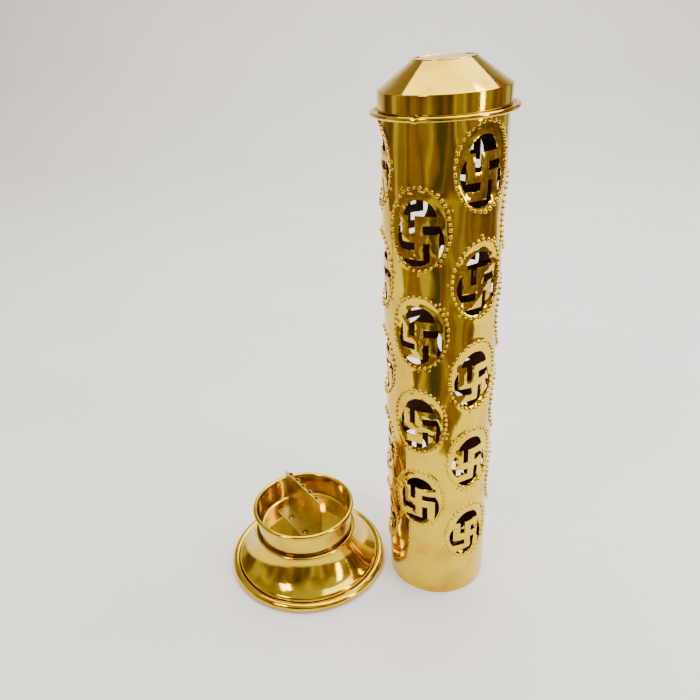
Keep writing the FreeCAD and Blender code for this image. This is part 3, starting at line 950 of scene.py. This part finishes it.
def run_graph(name, tree, values):
    """Runs a geometry graph on an empty mesh and returns the plain mesh it makes."""
    carrier = bpy.data.objects.new(name + "_carrier", bpy.data.meshes.new(name + "_empty"))
    bpy.context.collection.objects.link(carrier)
    modifier = carrier.modifiers.new("graph", "NODES")
    modifier.node_group = tree
    for item in tree.interface.items_tree:
        if item.item_type == "SOCKET" and item.in_out == "INPUT" and item.name in values:
            modifier[item.identifier] = values[item.name]
    bpy.context.view_layer.update()
    finished = carrier.evaluated_get(bpy.context.evaluated_depsgraph_get())
    mesh = bpy.data.meshes.new_from_object(finished)
    mesh.name = name
    # Slots that no face uses are dropped, so each face keeps its own material
    used = sorted({polygon.material_index for polygon in mesh.polygons})
    kept = [mesh.materials[index] for index in used]
    places = [used.index(polygon.material_index) for polygon in mesh.polygons]
    mesh.materials.clear()
    for material in kept:
        mesh.materials.append(material)
    mesh.polygons.foreach_set("material_index", places)
    carrier.modifiers.clear()
    bpy.data.objects.remove(carrier)
    finishes = ", ".join(material.name for material in kept)
    print("%s: %d faces, %s" % (name, len(mesh.polygons), finishes))
    return mesh


# %% [markdown]
# ## The pierced tube
# Three columns of five roundels stand between three columns of four. Blank tiles fill the
# ends of the short columns, and two plain bands close the foot and the top. Once the tiles
# are rolled they are welded where they meet within 0.02 mm. Beside each ring of beads the
# raised sheet stands up to 0.1 mm off its neighbour, and a fine crack stays open there. The
# tube is bright outside and painted dark inside as painted shade, told apart by a mark on
# each tile's inner skin.

# %% Tube graph: tiles
tube_graph, given = new_graph(
    "pierced_tube",
    "Tube",
    {
        "Roundel": "Object",
        "Blank": "Object",
        "Foot": "Object",
        "Top": "Object",
        "Wave": "Float",
        "Outside": "Material",
        "Inside": "Material",
    },
)
places = [("Roundel", points) for points in roundel_places(tube_graph)]
# Rows of plain tiles: which tile, how many, how far apart and how high
for label, count, step_u, low_v in (
    ("Blank", COLUMNS // 2, 2 * TILE_WIDE, foot_edge),
    ("Blank", COLUMNS // 2, 2 * TILE_WIDE, top_edge - half_row),
    ("Foot", COLUMNS, TILE_WIDE, 0),
    ("Top", COLUMNS, TILE_WIDE, 0),
):
    row = add(
        tube_graph,
        "GeometryNodeMeshLine",
        Count=count,
        Start_Location=(-TILE_WIDE * MM, low_v * MM, 0),
        Offset=(step_u * MM, 0, 0),
    )
    places.append((label, row))
tiles = []
for label, points in places:
    shape = add(tube_graph, "GeometryNodeObjectInfo", Object=given[label]).outputs["Geometry"]
    tiles.append(add(tube_graph, "GeometryNodeInstanceOnPoints", Points=points, Instance=shape))
all_tiles = add(tube_graph, "GeometryNodeJoinGeometry", i0=tiles)
print("the tube is laid from", len(tiles), "groups of tiles")

# %% Tube graph: rolled, welded and clad
WELD_SHEET = 0.02
laid = add(tube_graph, "GeometryNodeRealizeInstances", Geometry=all_tiles)
rolled_sheet = roll_up(tube_graph, laid, given["Wave"])
welded = add(
    tube_graph, "GeometryNodeMergeByDistance", Geometry=rolled_sheet, Distance=WELD_SHEET * MM
)
clad = add(tube_graph, "GeometryNodeSetMaterial", Geometry=welded, Material=given["Outside"])
skin_read = add(
    tube_graph, "GeometryNodeInputNamedAttribute", {"data_type": "BOOLEAN"}, Name="inner_skin"
)
is_inner = [socket for socket in skin_read.outputs if socket.enabled][0]
# The inner skin takes the dark painted shade of the inside
shaded_inside = add(
    tube_graph,
    "GeometryNodeSetMaterial",
    Geometry=clad,
    Selection=is_inner,
    Material=given["Inside"],
)
add(tube_graph, "NodeGroupOutput", i0=shaded_inside)
print("tube graph:", len(tube_graph.nodes), "nodes")

# %% Run the tube graph
SHEET_WAVE = 0.5
tube_mesh = run_graph(
    "pierced_tube",
    tube_graph,
    {
        "Roundel": roundel_tile,
        "Blank": blank_tile,
        "Foot": foot_tile,
        "Top": top_tile,
        "Wave": SHEET_WAVE * MM,
        "Outside": sheet_brass,
        "Inside": inside_shade,
    },
)

# %% [markdown]
# ## Closing the tube's ends
# The rolled sheet is cut square at both ends. A thin wall joins its two skins there, so the
# sheet shows its thickness from above and below.
#
# Known fault: the two limits are too wide. They also take the cracks beside the lowest and
# highest roundels, and those get joined to the ends by about 1100 stray triangles that cross
# the tube's inside. Limits of 0.001 and 0.281 take the ends alone and leave none.

# %% Tube ends
LOW_END_BELOW, HIGH_END_ABOVE = 0.05, 0.2
work = bmesh.new()
work.from_mesh(tube_mesh)
open_edges = [edge for edge in work.edges if len(edge.link_faces) == 1]
low_end = [edge for edge in open_edges if edge.verts[0].co.z < LOW_END_BELOW]
high_end = [edge for edge in open_edges if edge.verts[0].co.z > HIGH_END_ABOVE]
for end in (low_end, high_end):
    bmesh.ops.bridge_loops(work, edges=end)
print("open edges left:", sum(1 for edge in work.edges if len(edge.link_faces) == 1))
work.to_mesh(tube_mesh)
work.free()
tube_mesh.attributes.remove(tube_mesh.attributes["inner_skin"])
tube = finish_mesh("pierced_tube", tube_mesh, list(tube_mesh.materials), 32)
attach(tube, "cover")
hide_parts("tower_tube")

# %% [markdown]
# ## Beads round the roundels
# The beads are blows of one domed punch, driven from behind against a lead block. A bead is
# a low dome of only 25 points, because it is repeated about a thousand times.

# %% Bead
PUNCH_R = 1.1
BEAD_RISE = 0.95
# Share of the radius and share of the height, from the sheet to near the top
DOME_ROWS = ((1.0, -0.25), (0.92, 0.25), (0.62, 0.78))


def dome(name, radius, rise, steps=8):
    """A low dome that stands on the sheet, closed by its top."""
    vertices = []
    for share, height in DOME_ROWS:
        for step in range(steps):
            angle = 2 * math.pi * step / steps
            x, y = radius * share * math.cos(angle), radius * share * math.sin(angle)
            vertices.append((x * MM, y * MM, rise * height * MM))
    vertices.append((0, 0, rise * MM))
    faces = []
    for row in range(len(DOME_ROWS) - 1):
        for step in range(steps):
            following = (step + 1) % steps
            a, b = row * steps + step, row * steps + following
            faces.append((a, b, b + steps, a + steps))
    for step in range(steps):
        faces.append((2 * steps + step, 2 * steps + (step + 1) % steps, len(vertices) - 1))
    mesh = bpy.data.meshes.new(name)
    mesh.from_pydata(vertices, [], faces)
    return bpy.data.objects.new(name, mesh)


bead_shape = dome("bead", PUNCH_R, BEAD_RISE)
print("bead:", len(bead_shape.data.vertices), "points")

# %% [markdown]
# ## Chance in the beads
# No two blows are quite the same size or quite on the line, and that is what marks the work
# as hand made. So each bead gets a random shift and size, from fixed seeds, and a few stray
# beads are struck outside the ring. The same graph rolls them up with the same waves as the
# sheet, so every bead stays seated on it.

# %% Bead graph: a ring of beads
bead_graph, given = new_graph(
    "roundel_beads",
    "Beads",
    {
        "Bead": "Object",
        "Beads_round": "Int",
        "Jitter": "Float",
        "Wave": "Float",
        "Brass": "Material",
    },
)
one_bead = add(bead_graph, "GeometryNodeObjectInfo", Object=given["Bead"]).outputs["Geometry"]
centres = add(bead_graph, "GeometryNodeJoinGeometry", i0=roundel_places(bead_graph))


def bead_line(tree, grow, count, stand):
    """Places for beads on one ring round every roundel."""
    circle = add(tree, "GeometryNodeCurvePrimitiveCircle", Resolution=96, Radius=1.0)
    oval = add(
        tree,
        "GeometryNodeTransform",
        Geometry=circle,
        Translation=(0, RING_UP * MM, stand * MM),
        Scale=((RING_WIDE + grow) * MM, (RING_HIGH + grow) * MM, 1.0),
    )
    ring = add(tree, "GeometryNodeResampleCurve", Curve=oval, Count=count)
    rings = add(tree, "GeometryNodeInstanceOnPoints", Points=centres, Instance=ring)
    laid = add(tree, "GeometryNodeRealizeInstances", Geometry=rings)
    return add(tree, "GeometryNodeCurveToPoints", {"mode": "EVALUATED"}, Curve=laid)


def beads(tree, grow, count, smallest, largest, stand, seed, share):
    """Beads on every roundel. share is how many of their places were really struck."""
    floats, vectors = {"data_type": "FLOAT"}, {"data_type": "FLOAT_VECTOR"}
    low, high = (-1.0, -1.0, 0.0), (1.0, 1.0, 0.0)
    aim = add(tree, "FunctionNodeRandomValue", vectors, i0=low, i1=high, Seed=seed)
    size = add(tree, "FunctionNodeRandomValue", floats, i2=smallest, i3=largest, Seed=seed + 1)
    luck = add(tree, "FunctionNodeRandomValue", floats, i2=0.0, i3=1.0, Seed=seed + 2)
    shift = add(
        tree, "ShaderNodeVectorMath", {"operation": "SCALE"}, i0=aim, Scale=given["Jitter"]
    )
    spots = add(
        tree,
        "GeometryNodeSetPosition",
        Geometry=bead_line(tree, grow, count, stand),
        Offset=shift,
    )
    return add(
        tree,
        "GeometryNodeInstanceOnPoints",
        Points=spots,
        Selection=add(tree, SUM, {"operation": "LESS_THAN"}, i0=luck.outputs[1], i1=share),
        Instance=one_bead,
        Scale=size.outputs[1],
    )


print("beads go round a ring %.1f mm wide and %.1f mm high" % (2 * RING_WIDE, 2 * RING_HIGH))

# %% Bead graph: both rings, rolled and clad
STRAY_OUT, STRAY_COUNT, STRAY_SHARE = 1.9, 40, 0.12
all_beads = add(
    bead_graph,
    "GeometryNodeJoinGeometry",
    i0=[
        beads(bead_graph, 0.0, given["Beads_round"], 0.78, 1.12, 0.12, 11, 1.0),
        beads(bead_graph, STRAY_OUT, STRAY_COUNT, 0.5, 0.8, 0.0, 31, STRAY_SHARE),
    ],
)
laid = add(bead_graph, "GeometryNodeRealizeInstances", Geometry=all_beads)
rolled_beads = roll_up(bead_graph, laid, given["Wave"])
clad = add(bead_graph, "GeometryNodeSetMaterial", Geometry=rolled_beads, Material=given["Brass"])
add(bead_graph, "NodeGroupOutput", i0=clad)
print("bead graph:", len(bead_graph.nodes), "nodes")

# %% Run the bead graph
BEADS_ROUND = 37
JITTER = 0.2
bead_mesh = run_graph(
    "roundel_beads",
    bead_graph,
    {
        "Bead": bead_shape,
        "Beads_round": BEADS_ROUND,
        "Jitter": JITTER * MM,
        "Wave": SHEET_WAVE * MM,
        "Brass": bead_brass,
    },
)
beads_piece = finish_mesh("roundel_beads", bead_mesh, [bead_brass], 60)
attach(beads_piece, "cover")

# %% [markdown]
# ## Table and backdrop
# A sheet of pale matt paper lies on the table, runs back and curves up into a wall, so
# there is no line behind the brass. Its front edge is rounded over, and it widens towards
# the back as the view does.

# %% Matt paper
backdrop, tree = new_material("paper_backdrop_matt")
place = add(tree, "ShaderNodeTexCoord").outputs["Object"]
# Barely seen clouds about 17 cm across keep the paper from looking like a flat fill
fibres = add(tree, "ShaderNodeTexNoise", Vector=place, Scale=6.0, Detail=4.0)
whites = [(0.35, "f2f1ee"), (0.65, "f6f5f3")]
paper = add(
    tree,
    "ShaderNodeBsdfPrincipled",
    Base_Color=add(tree, "ShaderNodeValToRGB", {"stops": whites}, i0=fibres),
    Roughness=0.75,
)
add(tree, "ShaderNodeOutputMaterial", Surface=paper)
print("%s: %d nodes" % (backdrop.name, len(tree.nodes)))

# %% Table and wall
TABLE_FRONT, TABLE_BACK, WALL_TOP = -0.17, 1.1, 3.0
COVE_R, COVE_STEPS = 0.6, 12
profile = [
    (TABLE_FRONT, -0.03),
    (TABLE_FRONT, -0.004),
    (TABLE_FRONT + 0.002, -0.001),
    (TABLE_FRONT + 0.006, 0.0),
    (TABLE_BACK, 0.0),
]
for step in range(1, COVE_STEPS + 1):
    angle = math.radians(90 * step / COVE_STEPS)
    profile.append((TABLE_BACK + COVE_R * math.sin(angle), COVE_R - COVE_R * math.cos(angle)))
profile.append((TABLE_BACK + COVE_R, WALL_TOP))
vertices = []
for y, z in profile:
    vertices += [(-0.46 - 0.8 * y, y, z), (0.5 + 0.45 * y, y, z)]
faces = [(2 * i, 2 * i + 1, 2 * i + 3, 2 * i + 2) for i in range(len(profile) - 1)]
floor_mesh = bpy.data.meshes.new("table_and_wall")
floor_mesh.from_pydata(vertices, [], faces)
for polygon in floor_mesh.polygons:
    polygon.use_smooth = True
floor_mesh.materials.append(backdrop)
floor = bpy.data.objects.new("table_and_wall", floor_mesh)
bpy.context.collection.objects.link(floor)
print("table and wall:", len(faces), "faces")

# %% [markdown]
# ## Light
# Polished brass mostly shows the lamps themselves, so their sizes and places matter more
# than their power. A small square one stands at the front left, a tall narrow one at the
# right, a wide soft one hangs above, and a small one is high up at the right.

# %% Lamps
AIM = Vector((0.05, 0.0, 0.12))


def softbox(name, lamp_at, wide, tall, power, colour):
    """A rectangular lamp that faces the part."""
    lamp = bpy.data.lights.new(name, "AREA")
    lamp.shape = "RECTANGLE"
    lamp.size = wide
    lamp.size_y = tall
    lamp.energy = power
    lamp.color = linear(colour)[:3]
    stand = bpy.data.objects.new(name, lamp)
    bpy.context.collection.objects.link(stand)
    stand.location = lamp_at
    stand.rotation_euler = (AIM - Vector(lamp_at)).to_track_quat("-Z", "Y").to_euler()
    print("%s: %.1f W, %.2f m away" % (name, power, (AIM - Vector(lamp_at)).length))


softbox("lamp_key", (-0.7, -0.9, 1.1), 0.35, 0.35, 8.0, "fff6ea")
softbox("lamp_right", (1.0, -0.5, 0.5), 0.14, 0.9, 5.5, "fff9f2")
softbox("lamp_top", (0.4, 0.35, 1.5), 2.2, 1.6, 50.0, "fffcf6")
softbox("lamp_window", (0.7, 0.22, 1.2), 0.3, 0.3, 3.5, "fffaf0")

# %% [markdown]
# ## The room
# Polished brass needs something dark to reflect, or it looks like yellow paint. So the room
# round it is dimmer than the lamps, with soft upright bands: dark furniture, then a pale
# wall, then dark again. Overhead it fades to an even white ceiling.

# %% Room
ROOM_GLOW = 0.8
world = bpy.data.worlds.new("room")
world.use_nodes = True
bpy.context.scene.world = world
tree = world.node_tree
tree.nodes.clear()
direction = add(tree, "ShaderNodeTexCoord").outputs["Generated"]
upright = add(tree, "ShaderNodeMapping", i0=direction, Scale=(2.6, 2.6, 0.3))
bands = add(tree, "ShaderNodeTexNoise", Vector=upright, Scale=1.0, Detail=2.0)
band_colours = [
    (0.34, "5e6252"),
    (0.42, "8a7260"),
    (0.48, "b88e72"),
    (0.53, "b0a18e"),
    (0.61, "f6eedc"),
]
dim = add(tree, "ShaderNodeValToRGB", {"stops": band_colours}, i0=bands)
height = add(tree, "ShaderNodeSeparateXYZ", i0=direction).outputs[2]
level = add(tree, "ShaderNodeMapRange", i0=height, i1=0.5, i2=0.95)
room = add(
    tree, "ShaderNodeMix", {"data_type": "RGBA"}, i0=level, i6=dim, i7=linear("f4f2ee")
)
glow = add(tree, "ShaderNodeBackground", Color=room.outputs[2], Strength=ROOM_GLOW)
add(tree, "ShaderNodeOutputWorld", Surface=glow)
print("room: %d nodes" % len(tree.nodes))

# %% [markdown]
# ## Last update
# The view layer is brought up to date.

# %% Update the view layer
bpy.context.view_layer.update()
